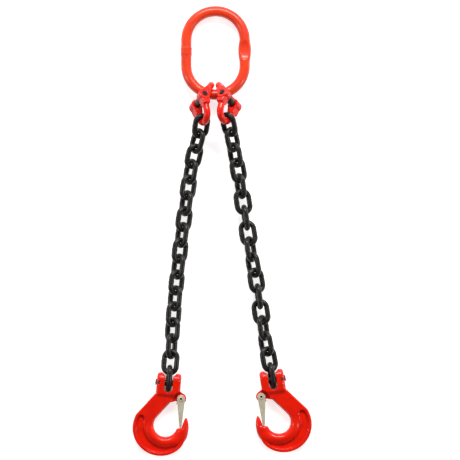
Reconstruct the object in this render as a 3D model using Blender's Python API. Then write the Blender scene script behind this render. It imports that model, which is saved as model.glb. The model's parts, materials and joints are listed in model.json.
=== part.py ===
# Two-leg chain sling: an oblong master link, two coupling links, two legs of
# seventeen links each and two clevis hooks with spring latches.
# It lies flat: X runs across, Y from the hooks to the master link, Z up.
# The origin is the crane hook's seat, on the inner face of the master link's top.
import bpy
import bmesh
from math import asin, cos, degrees, pi, radians, sin, sqrt
from mathutils import Matrix, Vector

for old in list(bpy.data.objects):
    bpy.data.objects.remove(old, do_unlink=True)

# Clearances
running_gap = 0.0003
cutter_overrun = 0.004
weld_distance = 0.000002

# Master link
master_bar = 0.016
master_inner_width = 0.073
master_inner_length = 0.1126
master_weld_length = 0.010
master_weld_height = 0.0006
master_weld_drop = 0.0165
master_pad_length = 0.027
master_pad_width = 0.0198
master_pad_thickness = 0.0132
master_sides = 12
master_steps = 15
master_tilt = radians(5.9)

# Coupling link: two equal forged halves on one pin, with a bush between them
coupler_arm = 0.0104
coupler_reach = 0.0353
coupler_crown = 0.0143
coupler_width = 0.046
ear_radius = 0.009
ear_thickness = 0.004
tongue_thickness = 0.005
ear_neck_reach = 0.0155
ear_edge = 0.0009
coupler_pin_diameter = 0.008
coupler_pin_proud = 0.0005
bush_diameter = 0.013
coupler_sides = 10
coupler_steps = 8
arm_run_share = 0.78
arm_middle_shares = {"run": 0.55, "thick": 0.25, "wide": 0.10}
arm_end_shares = {"thick": 0.96, "wide": 0.80}
neck_share = 0.98
ear_turns = (52, 308)
ear_steps = 12
disc_sides = 20
pin_sides = 14
bush_sides = 16

# Chain
chain_bar = 0.008
chain_pitch = 0.02433
chain_play = 0.0005
chain_inner_width = 0.0118
chain_weld_length = 0.0045
chain_weld_height = 0.0003
chain_sides = 8
chain_steps = 6

# Hook, from its load pin down to the bowl; offsets are towards the tip, drops downwards
hook_reach = 0.0827
bowl_radius = 0.0178
bowl_offset = 0.0002
back_radius = 0.0429
back_drop = 0.0694
back_offset = 0.0066
rim_width = 0.0048
rim_thickness = 0.0135
rim_edge = 0.0016
web_thickness = 0.0062
bead_width = 0.0158
bead_thickness = 0.0180
shoulder_drop = 0.0162
throat_offset = 0.0046
throat_drop = 0.0303
roof_offset = 0.0087
roof_drop = 0.0282
notch_offset = 0.0210
notch_drop = 0.0677
notch_end_offset = 0.0252
notch_end_drop = 0.0673
tip_face_offset = 0.0263
tip_face_drop = 0.0610
tip_radius = 0.0022
tip_drop = 0.0532
tip_offset = 0.0303
tip_back_drop = 0.0660
lobe_radius = 0.0082
lobe_thickness = 0.0048
lobe_pocket_radius = 0.0115
shoulder_share = 0.98
body_top_share = 0.72
body_side_share = 0.93

# Turns of the hook's arcs in degrees, and how many flats each has
back_turn = -204
throat_turn = -200
mouth_turn = -18
tip_turns = (166, 15)
lobe_turns = (62, -150)
pocket_turns = (149, 322)
bead_turns = (-14, -212)
back_steps = 24
bowl_steps = 12
tip_steps = 4
lobe_steps = 8
pocket_steps = 14
bead_sides = 12
bead_steps = 14
bead_begin_shares = (0.72, 0.90)
bead_end_shares = (0.95, 0.84, 0.72)

# Clevis of the hook
clevis_width = 0.0370
clevis_radius = 0.0107
clevis_rise = 0.0046
clevis_block_drop = 0.0158
clevis_neck_drop = 0.0225
clevis_edge = 0.0034
slot_width = 0.0124
slot_depth = 0.0155
slot_flare_start = 0.0098
slot_flare_width = 0.0090
load_pin_diameter = 0.0092
load_pin_proud = 0.0021
load_pin_edge = 0.0008
spring_pin_diameter = 0.0038
spring_pin_bore = 0.0019
spring_pin_inset = 0.0035
spring_pin_offset = clevis_width / 2 - spring_pin_inset
block_share = 0.96
clevis_foot_share = 0.97
clevis_steps = 10
slot_steps = 8
load_pin_sides = 16
spring_pin_sides = 10
bore_sides = 8

# Latch
latch_pivot_offset = 0.0206
latch_pivot_drop = 0.0223
latch_length = 0.0440
latch_lean = radians(3.6)
latch_head_radius = 0.0061
latch_tip_width = 0.0038
latch_depth = 0.0108
latch_sheet = 0.0014
latch_web_start = 0.0099
latch_tip_solid = 0.0036
latch_edge_share = 0.82
latch_end_shares = {"length": 0.97, "width": 0.5}
latch_turns = (-8, 188)
latch_steps = 12
rivet_diameter = 0.0048
rivet_head_diameter = 0.0066
rivet_head_height = 0.0012
rivet_crown_share = 0.7
rivet_edge_share = 0.6
rivet_sides = 12
spring_wire = 0.0008
spring_coil_radius = 0.0038
spring_start_turn = 200
spring_foot_shares = {"inwards": 0.75, "down": 1.10}
spring_steps = 9
smooth_angle = radians(40)

# Where each coupling link sits on the master link, and how it lies, in degrees.
# swing: place on the bottom bend; hold: place of the contact on its own crown;
# yaw and dip aim the pin's far end, upper and lower turn the halves about it.
coupler_lie = {
    "left": {"swing": -15.2, "hold": 185, "yaw": -25.6, "dip": 29.5, "upper": 41.6, "lower": -2.1},
    "right": {"swing": 12.4, "hold": 195, "yaw": 36, "dip": 31.5, "upper": -44.7, "lower": -2.2},
}

# How each link lies, in degrees, from the coupling link down: lean is outwards
# from straight down the page, fall is downwards, roll turns the link on its length.
leg_lie = {
    "left": {
        "lean": (9, 16, 13, 10.5, 8.5, 7, 8, 7.5, 6, 6.5, 6, 5, 4.5, 3.5, 3.5, 5.5, 4),
        "fall": (20, 17, 12, 8, 3.6, 1, 0, 0, 0, 0, 0, 0, 0, 0, 0, 0, 0),
        "roll": (-27, 48, -27, 50, -32, 54, -31, 53, -34, 51, -37, 46, -39, 40, -62, 12, 86),
    },
    "right": {
        "lean": (12, 13, 10, 10.5, 8, 9.5, 9, 10, 9, 11, 10, 8, 9, 8.5, 10.5, 11, 9),
        "fall": (21, 18, 13.5, 9, 5.5, 2.4, 0.6, 0, 0, 0, 0, 0, 0, 0, 0, 0, 0),
        "roll": (38, -45, 47, -31, 64, -12, 82, 10, -62, 46, -26, 82, 10, -62, 46, -26, 82),
    },
}
hook_lie = {"left": {"lean": 5, "fall": 3.4}, "right": {"lean": 9, "fall": 3.4}}

# Derived sizes shared by several pieces
master_radius = (master_inner_width + master_bar) / 2
master_straight = master_inner_length - master_inner_width
seat_depth = (master_radius - master_bar / 2 * cos(pi / master_sides)) * cos(pi / 2 / master_steps)
chain_radius = (chain_inner_width + chain_bar) / 2
chain_inner_length = chain_pitch + chain_play
chain_straight = chain_inner_length - chain_inner_width
chain_drop = (chain_inner_length - chain_bar) / 2 - chain_play
slot_in_ear = tongue_thickness + 2 * running_gap
coupler_inner = coupler_width - 2 * (2 * ear_thickness + slot_in_ear)
ear_middle = (coupler_width + coupler_inner) / 4
ear_swing_radius = ear_radius + 2 * running_gap
bowl_drop = hook_reach - bowl_radius

left_right = ("left", "right")
outward = {"left": -1, "right": 1}
up = Vector((0, 0, 1))
across = Vector((1, 0, 0))
along = Vector((0, 1, 0))


def material(name, colour, roughness, metallic):
    made = bpy.data.materials.new(name)
    made.use_nodes = True
    shader = made.node_tree.nodes["Principled BSDF"]
    shader.inputs["Base Color"].default_value = (*colour, 1)
    shader.inputs["Roughness"].default_value = roughness
    shader.inputs["Metallic"].default_value = metallic
    made.diffuse_color = (*colour, 1)
    return made


def bare_mesh(shape, name):
    # Close a bmesh into a mesh with outward faces and smooth round sides
    bmesh.ops.recalc_face_normals(shape, faces=shape.faces)
    mesh = bpy.data.meshes.new(name)
    shape.to_mesh(mesh)
    shape.free()
    mesh.shade_smooth()
    mesh.set_sharp_from_angle(angle=smooth_angle)
    return mesh


def frame(point, x_axis, y_axis):
    # World matrix of a piece from its origin and two of its own axes
    x_axis = x_axis.normalized()
    z_axis = x_axis.cross(y_axis).normalized()
    y_axis = z_axis.cross(x_axis)
    turned = Matrix((x_axis, y_axis, z_axis)).transposed().to_4x4()
    return Matrix.Translation(point) @ turned


def joint(name, point, axis, carrier):
    # An empty on the joint's axis, which its own Z follows; the pieces hang from it
    world = Matrix.Translation(point) @ up.rotation_difference(axis).to_matrix().to_4x4()
    empty = bpy.data.objects.new(name, None)
    empty.empty_display_size = chain_bar
    return hang(empty, world, carrier)


def hang(thing, world, carrier):
    bpy.context.collection.objects.link(thing)
    if carrier:
        thing.parent = carrier
        world = places[carrier.name].inverted() @ world
        places[thing.name] = places[carrier.name] @ world
    else:
        places[thing.name] = world
    thing.location = world.to_translation()
    thing.rotation_euler = world.to_euler()
    return thing


def piece(name, mesh, paint, world, carrier):
    if not mesh.materials:
        mesh.materials.append(paint)
    return hang(bpy.data.objects.new(name, mesh), world, carrier)


def extend(shape, ring, move, wide=1, deep=1):
    # Extrude a ring of edges, then scale it in its own X and Z about its middle
    made = bmesh.ops.extrude_edge_only(shape, edges=ring)["geom"]
    points = {v for v in made if isinstance(v, bmesh.types.BMVert)}
    middle = sum((v.co for v in points), Vector()) / len(points)
    for v in points:
        off = v.co - middle
        v.co = middle + move + Vector((off.x * wide, off.y, off.z * deep))
    return [e for e in made if isinstance(e, bmesh.types.BMEdge) and points.issuperset(e.verts)]


def start_ring(shape, radius, sides, place, flat_inside=False):
    # A circle across the Y axis; a corner or a flat side faces the ring's middle
    turn = pi / sides if flat_inside else 0
    stand = Matrix((up, across, along)).transposed().to_4x4()
    spot = Matrix.Translation(place) @ stand @ Matrix.Rotation(turn, 4, "Z")
    bmesh.ops.create_circle(shape, segments=sides, radius=radius, matrix=spot)
    return list(shape.edges)


def bend(shape, ring, middle, angle, steps):
    turned = bmesh.ops.spin(
        shape, geom=ring, cent=middle, axis=up, angle=angle, steps=steps, use_duplicate=False
    )
    return [e for e in turned["geom_last"] if isinstance(e, bmesh.types.BMEdge)]


def run_along(shape, ring, way, profile):
    # Carry a ring along a straight, through its (share of the way, wide, deep) places
    reached, past_wide, past_deep = 0, 1, 1
    for share, wide, deep in [*profile, (1, 1, 1)]:
        ring = extend(shape, ring, way * (share - reached), wide / past_wide, deep / past_deep)
        reached, past_wide, past_deep = share, wide, deep
    return ring


def oblong(shape, bar, radius, straight, sides, steps, left_side, right_side, flat_inside=False):
    # An oblong ring in XY: each side is a list of (share of its length, wide, deep)
    half = along * straight / 2
    ring = start_ring(shape, bar / 2, sides, across * radius + half, flat_inside)
    ring = bend(shape, ring, half, pi, steps)
    ring = run_along(shape, ring, -along * straight, left_side)
    ring = bend(shape, ring, -half, pi, steps)
    run_along(shape, ring, along * straight, right_side)
    bmesh.ops.remove_doubles(shape, verts=shape.verts, dist=weld_distance)


def prism(outline, low, high, axes="XYZ"):
    # An outline in two axes, extruded along the third from low to high
    shape = bmesh.new()
    first, second, third = ("XYZ".index(a) for a in axes)

    def spot(a, b, c):
        place = Vector()
        place[first], place[second], place[third] = a, b, c
        return place

    face = shape.faces.new([shape.verts.new(spot(a, b, low)) for a, b in outline])
    raised = bmesh.ops.extrude_face_region(shape, geom=[face])["geom"]
    moved = [v for v in raised if isinstance(v, bmesh.types.BMVert)]
    bmesh.ops.translate(shape, verts=moved, vec=spot(0, 0, high - low))
    bmesh.ops.recalc_face_normals(shape, faces=shape.faces)
    return shape


def arc(middle, radius, start, end, steps):
    # Points on a circle from one angle to another, both in degrees
    turns = [radians(start + (end - start) * i / steps) for i in range(steps + 1)]
    return [(middle[0] + radius * cos(t), middle[1] + radius * sin(t)) for t in turns]


def disc(radius, sides, low, high, axes, middle=(0, 0)):
    return prism(arc(middle, radius, 0, 360 - 360 / sides, sides - 1), low, high, axes)


def bore(diameter, sides, low, high, axes, middle=(0, 0)):
    # A many-sided cutter whose flats stay a running gap outside the pin
    radius = (diameter / 2 + running_gap) / cos(pi / sides)
    return disc(radius, sides, low, high, axes, middle)


def round_edges(shape, edges, width, segments=1):
    bmesh.ops.bevel(
        shape, geom=edges, offset=width, segments=segments, affect="EDGES", profile=0.5
    )


def rim(shape, axis, place):
    # The edges that lie wholly in one plane across an axis
    return [e for e in shape.edges if all(abs(v.co[axis] - place) < weld_distance for v in e.verts)]


def joined(base, steps, name):
    # Add or cut each shape in turn, and return the finished mesh
    body = bpy.data.objects.new(name, bare_mesh(base, name))
    bpy.context.collection.objects.link(body)
    tools = []
    for operation, shape in steps:
        tool = bpy.data.objects.new(name + "_tool", bare_mesh(shape, name + "_tool"))
        bpy.context.collection.objects.link(tool)
        tool.hide_render = True
        tool.display_type = "WIRE"
        change = body.modifiers.new(operation.lower(), "BOOLEAN")
        change.operation, change.solver, change.object = operation, "EXACT", tool
        tools.append(tool)
    seen = body.evaluated_get(bpy.context.evaluated_depsgraph_get())
    mesh = bpy.data.meshes.new_from_object(seen)
    for thing in [body, *tools]:
        bpy.data.objects.remove(thing, do_unlink=True)
    mesh.shade_smooth()
    mesh.set_sharp_from_angle(angle=smooth_angle)
    return mesh


def mirrored(mesh):
    # The same mesh with X turned round, for the other hand
    shape = bmesh.new()
    shape.from_mesh(mesh)
    bmesh.ops.scale(shape, verts=shape.verts, vec=Vector((-1, 1, 1)))
    bmesh.ops.reverse_faces(shape, faces=shape.faces)
    return bare_mesh(shape, mesh.name + "_mirrored")


def master_link():
    # The weld stands proud on the left bar; the right bar is pressed to an oval pad
    shape = bmesh.new()
    swell = 1 + 2 * master_weld_height / master_bar
    top = (master_weld_drop - master_weld_length / 2) / master_straight
    low = (master_weld_drop + master_weld_length / 2) / master_straight
    step = master_weld_height / master_straight
    weld = [(top - step, 1, 1), (top, swell, swell), (low, swell, swell), (low + step, 1, 1)]
    wide, deep = master_pad_width / master_bar, master_pad_thickness / master_bar
    edge = (master_straight - master_pad_length) / 2 / master_straight
    ease = edge / 2
    pad = [(ease, 1, 1), (2 * ease, wide, deep), (1 - 2 * ease, wide, deep), (1 - ease, 1, 1)]
    oblong(
        shape, master_bar, master_radius, master_straight, master_sides, master_steps,
        weld, pad, flat_inside=True,
    )
    bmesh.ops.translate(
        shape, verts=shape.verts, vec=Vector((0, -master_straight / 2 - seat_depth, 0))
    )
    return bare_mesh(shape, "master_link")


def coupler_half():
    # Local X is the pin, Y points from the pin to the crown; the fork is on -X
    shape = bmesh.new()
    crown = Vector((0, coupler_reach - coupler_crown, 0))
    ring = start_ring(shape, coupler_arm / 2, coupler_sides, crown - across * coupler_crown)
    ends = [(-1, ring), (1, bend(shape, ring, crown, -pi, coupler_steps))]
    thick = (coupler_width - coupler_inner) / 2 / coupler_arm
    wide = 2 * ear_radius / coupler_arm
    half_thick = 1 + (thick - 1) * arm_middle_shares["thick"]
    half_wide = 1 + (wide - 1) * arm_middle_shares["wide"]
    end_thick = thick * arm_end_shares["thick"]
    end_wide = wide * arm_end_shares["wide"]
    middle = arm_middle_shares["run"]
    for side, end in ends:
        run = Vector((side * (ear_middle - coupler_crown), -crown.y * arm_run_share, 0))
        end = extend(shape, end, run * middle, half_thick, half_wide)
        end = extend(shape, end, run * (1 - middle), end_thick / half_thick, end_wide / half_wide)
        bmesh.ops.contextual_create(shape, geom=end)
    neck = (ear_neck_reach, coupler_arm / 2 * neck_share)
    outline = [neck] + arc((0, 0), ear_radius, *ear_turns, ear_steps) + [(neck[0], -neck[1])]
    steps = []
    for side in (-1, 1):
        near, far = sorted((side * coupler_inner / 2, side * coupler_width / 2))
        ear = prism(outline, near, far, "YZX")
        round_edges(ear, rim(ear, 0, side * coupler_width / 2), ear_edge)
        steps.append(("UNION", ear))
    slot = coupler_inner / 2 + ear_thickness
    tongue = slot + running_gap
    outside = coupler_width / 2 + cutter_overrun
    cuts = (
        (-slot - slot_in_ear, -slot),
        (coupler_inner / 2 - cutter_overrun, tongue),
        (tongue + tongue_thickness, outside),
    )
    for low, high in cuts:
        steps.append(("DIFFERENCE", disc(ear_swing_radius, disc_sides, low, high, "YZX")))
    hole = bore(coupler_pin_diameter, pin_sides, -outside, outside, "YZX")
    steps.append(("DIFFERENCE", hole))
    return joined(shape, steps, "coupler_half")


def coupler_pin():
    half = coupler_width / 2 + coupler_pin_proud
    shape = disc(coupler_pin_diameter / 2, pin_sides, -half, half, "YZX")
    edges = rim(shape, 0, -half) + rim(shape, 0, half)
    round_edges(shape, edges, coupler_pin_proud)
    return bare_mesh(shape, "coupler_pin")


def coupler_bush():
    # A barrel between the ears, with the pin's bore through it
    half = coupler_inner / 2 - running_gap
    shape = disc(bush_diameter / 2, bush_sides, -half, half, "YZX")
    round_edges(shape, rim(shape, 0, -half) + rim(shape, 0, half), ear_edge)
    reach = half + cutter_overrun
    hole = bore(coupler_pin_diameter, pin_sides, -reach, reach, "YZX")
    return joined(shape, [("DIFFERENCE", hole)], "coupler_bush")


def chain_link(hang_drop):
    # The link hangs below its joint, which is the middle of the bar that holds it
    shape = bmesh.new()
    swell = 1 + 2 * chain_weld_height / chain_bar
    top = (1 - chain_weld_length / chain_straight) / 2
    weld = [(top, swell, swell), (1 - top, swell, swell)]
    oblong(
        shape, chain_bar, chain_radius, chain_straight, chain_sides, chain_steps, weld, []
    )
    bmesh.ops.translate(shape, verts=shape.verts, vec=Vector((0, -hang_drop, 0)))
    return bare_mesh(shape, "chain_link")


def hook_outline():
    # Seen from above with the tip on +X and the bowl on -Y
    side = clevis_width / 2
    top = -slot_depth * body_top_share
    back_begin = degrees(asin((back_drop - tip_back_drop) / back_radius))
    back = (-back_offset, -back_drop)
    bowl = (bowl_offset, -bowl_drop)
    wall = bowl_radius + rim_edge / 2
    pivot = (latch_pivot_offset, -latch_pivot_drop)
    tip = (tip_offset, -tip_drop)
    return [
        (-side * shoulder_share, top),
        (side * body_side_share, top),
        *arc(pivot, lobe_radius, *lobe_turns, lobe_steps),
        (roof_offset, -roof_drop),
        (throat_offset, -throat_drop),
        *arc(bowl, wall, throat_turn, mouth_turn, bowl_steps),
        (notch_offset, -notch_drop),
        (notch_end_offset, -notch_end_drop),
        (tip_face_offset, -tip_face_drop),
        *arc(tip, tip_radius, *tip_turns, tip_steps),
        *arc(back, back_radius, back_begin, back_turn, back_steps),
        (-side * shoulder_share, -shoulder_drop),
    ]


def pocket(low, high):
    # The hollow between the bowl's bead and the rim, blunt at both ends
    back = Vector((-back_offset, -back_drop))
    bowl = Vector((bowl_offset, -bowl_drop))
    begin, end = pocket_turns
    outer = arc(back, back_radius - rim_width, begin, end, pocket_steps)
    inner = []
    for step in range(pocket_steps + 1):
        turn = radians(end + (begin - end) * step / pocket_steps)
        ray = Vector((cos(turn), sin(turn)))
        ahead = (bowl - back).dot(ray)
        aside = (bowl - back).dot(ray.orthogonal())
        inner.append(back + ray * (ahead + sqrt((bowl_radius + bead_width) ** 2 - aside**2)))
    return prism(outer + inner, low, high)


def bead():
    # The thick rounded bowl: an oval section turned about the bowl's centre, with
    # ends that sink into the plate
    shape = bmesh.new()
    bowl = Vector((bowl_offset, -bowl_drop, 0))
    middle = bowl + across * (bowl_radius + bead_width / 2)
    full = [1] * (bead_steps + 1 - len(bead_begin_shares) - len(bead_end_shares))
    heights = [*bead_begin_shares, *full, *bead_end_shares]
    ring = start_ring(shape, bead_width / 2, bead_sides, middle, flat_inside=True)
    grown = bead_thickness / bead_width * heights[0]
    bmesh.ops.scale(shape, verts=shape.verts, vec=Vector((1, 1, grown)))
    begin, end = bead_turns
    turned = Matrix.Rotation(radians(begin), 3, "Z")
    bmesh.ops.rotate(shape, verts=shape.verts, cent=bowl, matrix=turned)
    ends = [ring]
    for past, height in zip(heights, heights[1:]):
        ring = bend(shape, ring, bowl, radians(end - begin) / bead_steps, 1)
        points = list({v for e in ring for v in e.verts})
        bmesh.ops.scale(shape, verts=points, vec=Vector((1, 1, height / past)))
    ends.append(ring)
    for end in ends:
        bmesh.ops.contextual_create(shape, geom=end)
    bmesh.ops.recalc_face_normals(shape, faces=shape.faces)
    return shape


def clevis():
    # Two ears on a block that slopes down to the hook's plate
    foot = rim_thickness / 2 * clevis_foot_share
    block = clevis_radius * block_share
    profile = [
        (-clevis_neck_drop, foot),
        (-clevis_block_drop, block),
        *arc((clevis_rise, 0), clevis_radius, 90, -90, clevis_steps),
        (-clevis_block_drop, -block),
        (-clevis_neck_drop, -foot),
    ]
    side = clevis_width / 2
    shape = prism(profile, -side, side, "YZX")
    round_edges(shape, rim(shape, 0, -side) + rim(shape, 0, side), clevis_edge, 2)
    return shape


def clevis_slot():
    # Straight and round-ended for the last link, and flared where the next one rests
    side = slot_width / 2
    top = clevis_rise + clevis_radius + cutter_overrun
    outline = [
        (side, slot_flare_start),
        (side + slot_flare_width, top),
        (-side - slot_flare_width, top),
        (-side, slot_flare_start),
        *arc((0, side - slot_depth), side, 180, 360, slot_steps),
    ]
    return prism(outline, -clevis_radius - cutter_overrun, clevis_radius + cutter_overrun)


def hook_body():
    half = rim_thickness / 2
    web = web_thickness / 2
    lobe = lobe_thickness / 2
    reach = clevis_radius + cutter_overrun
    side = clevis_width / 2 + cutter_overrun
    pivot = (latch_pivot_offset, -latch_pivot_drop)
    spring_spot = (-spring_pin_offset, 0)
    body = prism(hook_outline(), -half, half)
    round_edges(body, rim(body, 2, -half) + rim(body, 2, half), rim_edge)
    cheek_low = disc(lobe_pocket_radius, disc_sides, -reach, -lobe, "XYZ", pivot)
    cheek_high = disc(lobe_pocket_radius, disc_sides, lobe, reach, "XYZ", pivot)
    pin_hole = bore(load_pin_diameter, load_pin_sides, -side, side, "YZX")
    spring_hole = bore(spring_pin_diameter, spring_pin_sides, -reach, reach, "XYZ", spring_spot)
    rivet_hole = bore(rivet_diameter, rivet_sides, -reach, reach, "XYZ", pivot)
    steps = [
        ("DIFFERENCE", pocket(-reach, -web)),
        ("DIFFERENCE", pocket(web, reach)),
        ("UNION", bead()),
        ("UNION", clevis()),
        ("DIFFERENCE", clevis_slot()),
        ("DIFFERENCE", cheek_low),
        ("DIFFERENCE", cheek_high),
        ("DIFFERENCE", pin_hole),
        ("DIFFERENCE", spring_hole),
        ("DIFFERENCE", rivet_hole),
    ]
    return joined(body, steps, "hook")


def hook_load_pin():
    # Its outer end stands proud of the ear, and the spring pin crosses it there
    outer, inner = -clevis_width / 2 - load_pin_proud, clevis_width / 2 - load_pin_edge
    shape = disc(load_pin_diameter / 2, load_pin_sides, outer, inner, "YZX")
    round_edges(shape, rim(shape, 0, outer) + rim(shape, 0, inner), load_pin_edge)
    reach = load_pin_diameter / 2 + cutter_overrun
    spring_spot = (-spring_pin_offset, 0)
    hole = bore(spring_pin_diameter, spring_pin_sides, -reach, reach, "XYZ", spring_spot)
    return joined(shape, [("DIFFERENCE", hole)], "hook_load_pin")


def hook_spring_pin():
    # A rolled pin, open through its middle
    half = clevis_radius - load_pin_edge
    reach = half + cutter_overrun
    spot = (-spring_pin_offset, 0)
    shape = disc(spring_pin_diameter / 2, spring_pin_sides, -half, half, "XYZ", spot)
    hole = disc(spring_pin_bore / 2, bore_sides, -reach, reach, "XYZ", spot)
    return joined(shape, [("DIFFERENCE", hole)], "hook_spring_pin")


def latch():
    # A stamped channel that straddles the lobe, in its own frame about the rivet
    tip = latch_tip_width / 2
    half = latch_depth / 2
    corner = latch_length * latch_end_shares["length"]
    end = tip * latch_end_shares["width"]
    outline = [
        *arc((0, 0), latch_head_radius, *latch_turns, latch_steps),
        (-tip, -corner),
        (-end, -latch_length),
        (end, -latch_length),
        (tip, -corner),
    ]
    shape = prism(outline, -half, half)
    wide = latch_head_radius + cutter_overrun
    edge = tip - latch_sheet
    start = latch_head_radius * latch_edge_share - latch_sheet
    low = -latch_length + latch_tip_solid
    inner = [
        (-wide, wide),
        (wide, wide),
        (wide, -latch_web_start),
        (start, -latch_web_start),
        (edge, low),
        (-wide, low),
    ]
    reach = half + cutter_overrun
    hollow = prism(inner, -half + latch_sheet, half - latch_sheet)
    hole = bore(rivet_diameter, rivet_sides, -reach, reach, "XYZ")
    return joined(shape, [("DIFFERENCE", hollow), ("DIFFERENCE", hole)], "latch")


def latch_rivet():
    # Turned shape: shank, then a head at each end outside the latch
    inner = latch_depth / 2 + running_gap
    outer = inner + rivet_head_height
    edge = inner + rivet_head_height * rivet_edge_share
    shank, head = rivet_diameter / 2, rivet_head_diameter / 2
    crown = head * rivet_crown_share
    top = [(0, outer), (crown, outer), (head, edge), (head, inner), (shank, inner)]
    profile = top + [(x, -z) for x, z in reversed(top)]
    shape = bmesh.new()
    points = [shape.verts.new(Vector((x, 0, z))) for x, z in profile]
    edges = [shape.edges.new(pair) for pair in zip(points, points[1:])]
    bmesh.ops.spin(
        shape, geom=points + edges, cent=Vector(), axis=up, angle=2 * pi,
        steps=rivet_sides, use_merge=True,
    )
    bmesh.ops.remove_doubles(shape, verts=shape.verts, dist=weld_distance)
    return bare_mesh(shape, "latch_rivet")


def latch_spring():
    # Two coils on the rivet, one each side of the lobe, joined by a loop under it
    level = (lobe_thickness / 2 + latch_depth / 2 - latch_sheet) / 2
    room = latch_depth / 2 - latch_sheet - lobe_thickness / 2 - 2 * running_gap - spring_wire
    coil = []
    for step in range(spring_steps + 1):
        share = step / spring_steps
        turn = radians(spring_start_turn + 360 * share)
        spot = Vector((cos(turn), sin(turn), 0)) * spring_coil_radius
        coil.append(spot + up * (level + room * (share - 1 / 2)))
    foot_x = -lobe_radius * spring_foot_shares["inwards"]
    foot_y = -lobe_radius * spring_foot_shares["down"]
    loop = [Vector((foot_x, foot_y, level)), Vector((foot_x, foot_y, -level))]
    other = [Vector((c.x, c.y, -c.z)) for c in reversed(coil)]
    route = coil + loop + other
    line = bpy.data.curves.new("latch_spring", "CURVE")
    line.dimensions = "3D"
    line.bevel_depth = spring_wire / 2
    line.bevel_resolution = 1
    line.use_fill_caps = True
    track = line.splines.new("POLY")
    track.points.add(len(route) - 1)
    for spot, place in zip(track.points, route):
        spot.co = (*place, 1)
    holder = bpy.data.objects.new("spring_route", line)
    bpy.context.collection.objects.link(holder)
    seen = holder.evaluated_get(bpy.context.evaluated_depsgraph_get())
    mesh = bpy.data.meshes.new_from_object(seen)
    bpy.data.objects.remove(holder, do_unlink=True)
    shape = bmesh.new()
    shape.from_mesh(mesh)
    bmesh.ops.remove_doubles(shape, verts=shape.verts, dist=weld_distance)
    return bare_mesh(shape, "latch_spring")


def lie(lean, fall):
    # A direction down the page: lean to +X, fall to -Z, both in degrees
    lean, fall = radians(lean), radians(fall)
    return Vector((sin(lean) * cos(fall), -cos(lean) * cos(fall), -sin(fall)))


def rolled(down, roll):
    # The width direction of a link that is turned about its own length
    flat = up.cross(down).normalized()
    return flat * cos(radians(roll)) + flat.cross(-down) * sin(radians(roll))


def in_plane(direction, normal):
    return (direction - normal * direction.dot(normal)).normalized()


def build_coupler(side, carrier):
    # Seat the upper half's crown on the master link's bend, then hang the rest
    place = coupler_lie[side]
    swing, hold = radians(place["swing"]), radians(place["hold"])
    page_down = places["master_link"].to_3x3() @ -along
    page_across = places["master_link"].to_3x3() @ across
    middle = page_down * (seat_depth + master_straight)
    radial = page_across * sin(swing) + page_down * cos(swing)
    contact = middle + radial * master_radius
    bar_axis = page_across * cos(swing) - page_down * sin(swing)
    yaw, dip = radians(place["yaw"]), radians(place["dip"])
    far = Vector((sin(yaw) * cos(dip), -sin(dip), -cos(yaw) * cos(dip)))
    rise = in_plane(along, far)
    to_side = far.cross(rise)
    upper = rise * cos(radians(place["upper"])) + to_side * sin(radians(place["upper"]))
    lower = -rise * cos(radians(place["lower"])) - to_side * sin(radians(place["lower"]))
    on_crown = far * cos(hold) + upper * sin(hold)
    crown_axis = upper * cos(hold) - far * sin(hold)
    off = bar_axis.cross(crown_axis).normalized()
    if off.dot(radial) > 0:
        off.negate()
    apart = (master_bar + coupler_arm) / 2 + running_gap
    pin = contact + off * apart - upper * (coupler_reach - coupler_crown) - on_crown * coupler_crown
    turn = joint(side + "_coupler_joint", contact, bar_axis, carrier)
    stand = frame(pin, far, upper)
    piece(side + "_coupler_upper_half", shapes["coupler_half"], red, stand, turn)
    piece(side + "_coupler_pin", shapes["coupler_pin"], black, stand, turn)
    piece(side + "_coupler_bush", shapes["coupler_bush"], black, stand, turn)
    fold = joint(side + "_coupler_fold_joint", pin, far, turn)
    hung = frame(pin, -far, lower)
    piece(side + "_coupler_lower_half", shapes["coupler_half"], red, hung, fold)
    eye = pin + lower * (coupler_reach - coupler_crown)
    return fold, eye, far.cross(lower).normalized(), coupler_crown, coupler_arm


def build_leg(side, held):
    # Each link hangs where the load would pull it against the bend that holds it
    carrier, eye, normal, bend_radius, bar = held
    lie_of = leg_lie[side]
    turns = zip(lie_of["lean"], lie_of["fall"], lie_of["roll"])
    for number, (lean, fall, roll) in enumerate(turns, 1):
        down = lie(outward[side] * lean, fall)
        reach = in_plane(down, normal)
        contact = eye + reach * bend_radius
        name = f"{side}_link_{number:02d}"
        # The link turns about a line midway between the bar it hangs on and its own bend's
        width = rolled(down, roll)
        bar_line, bend_line = normal.cross(reach), width.cross(-down)
        if bend_line.dot(bar_line) < 0:
            bend_line.negate()
        axis = (bar_line + bend_line) * (1 if number % 4 in (1, 2) else -1)
        turn = joint(name + "_joint", contact, axis, carrier)
        drop = chain_drop - (bar - chain_bar) / 2
        shape = shapes["first_link"] if number == 1 else shapes["chain_link"]
        name = f"{side}_chain_link_{number:02d}"
        piece(name, shape, steel, frame(contact, width, -down), turn)
        eye = contact + down * (drop + chain_straight / 2)
        normal = width.cross(-down)
        carrier, bend_radius, bar = turn, chain_radius, chain_bar
    return carrier, eye, normal, width


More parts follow.
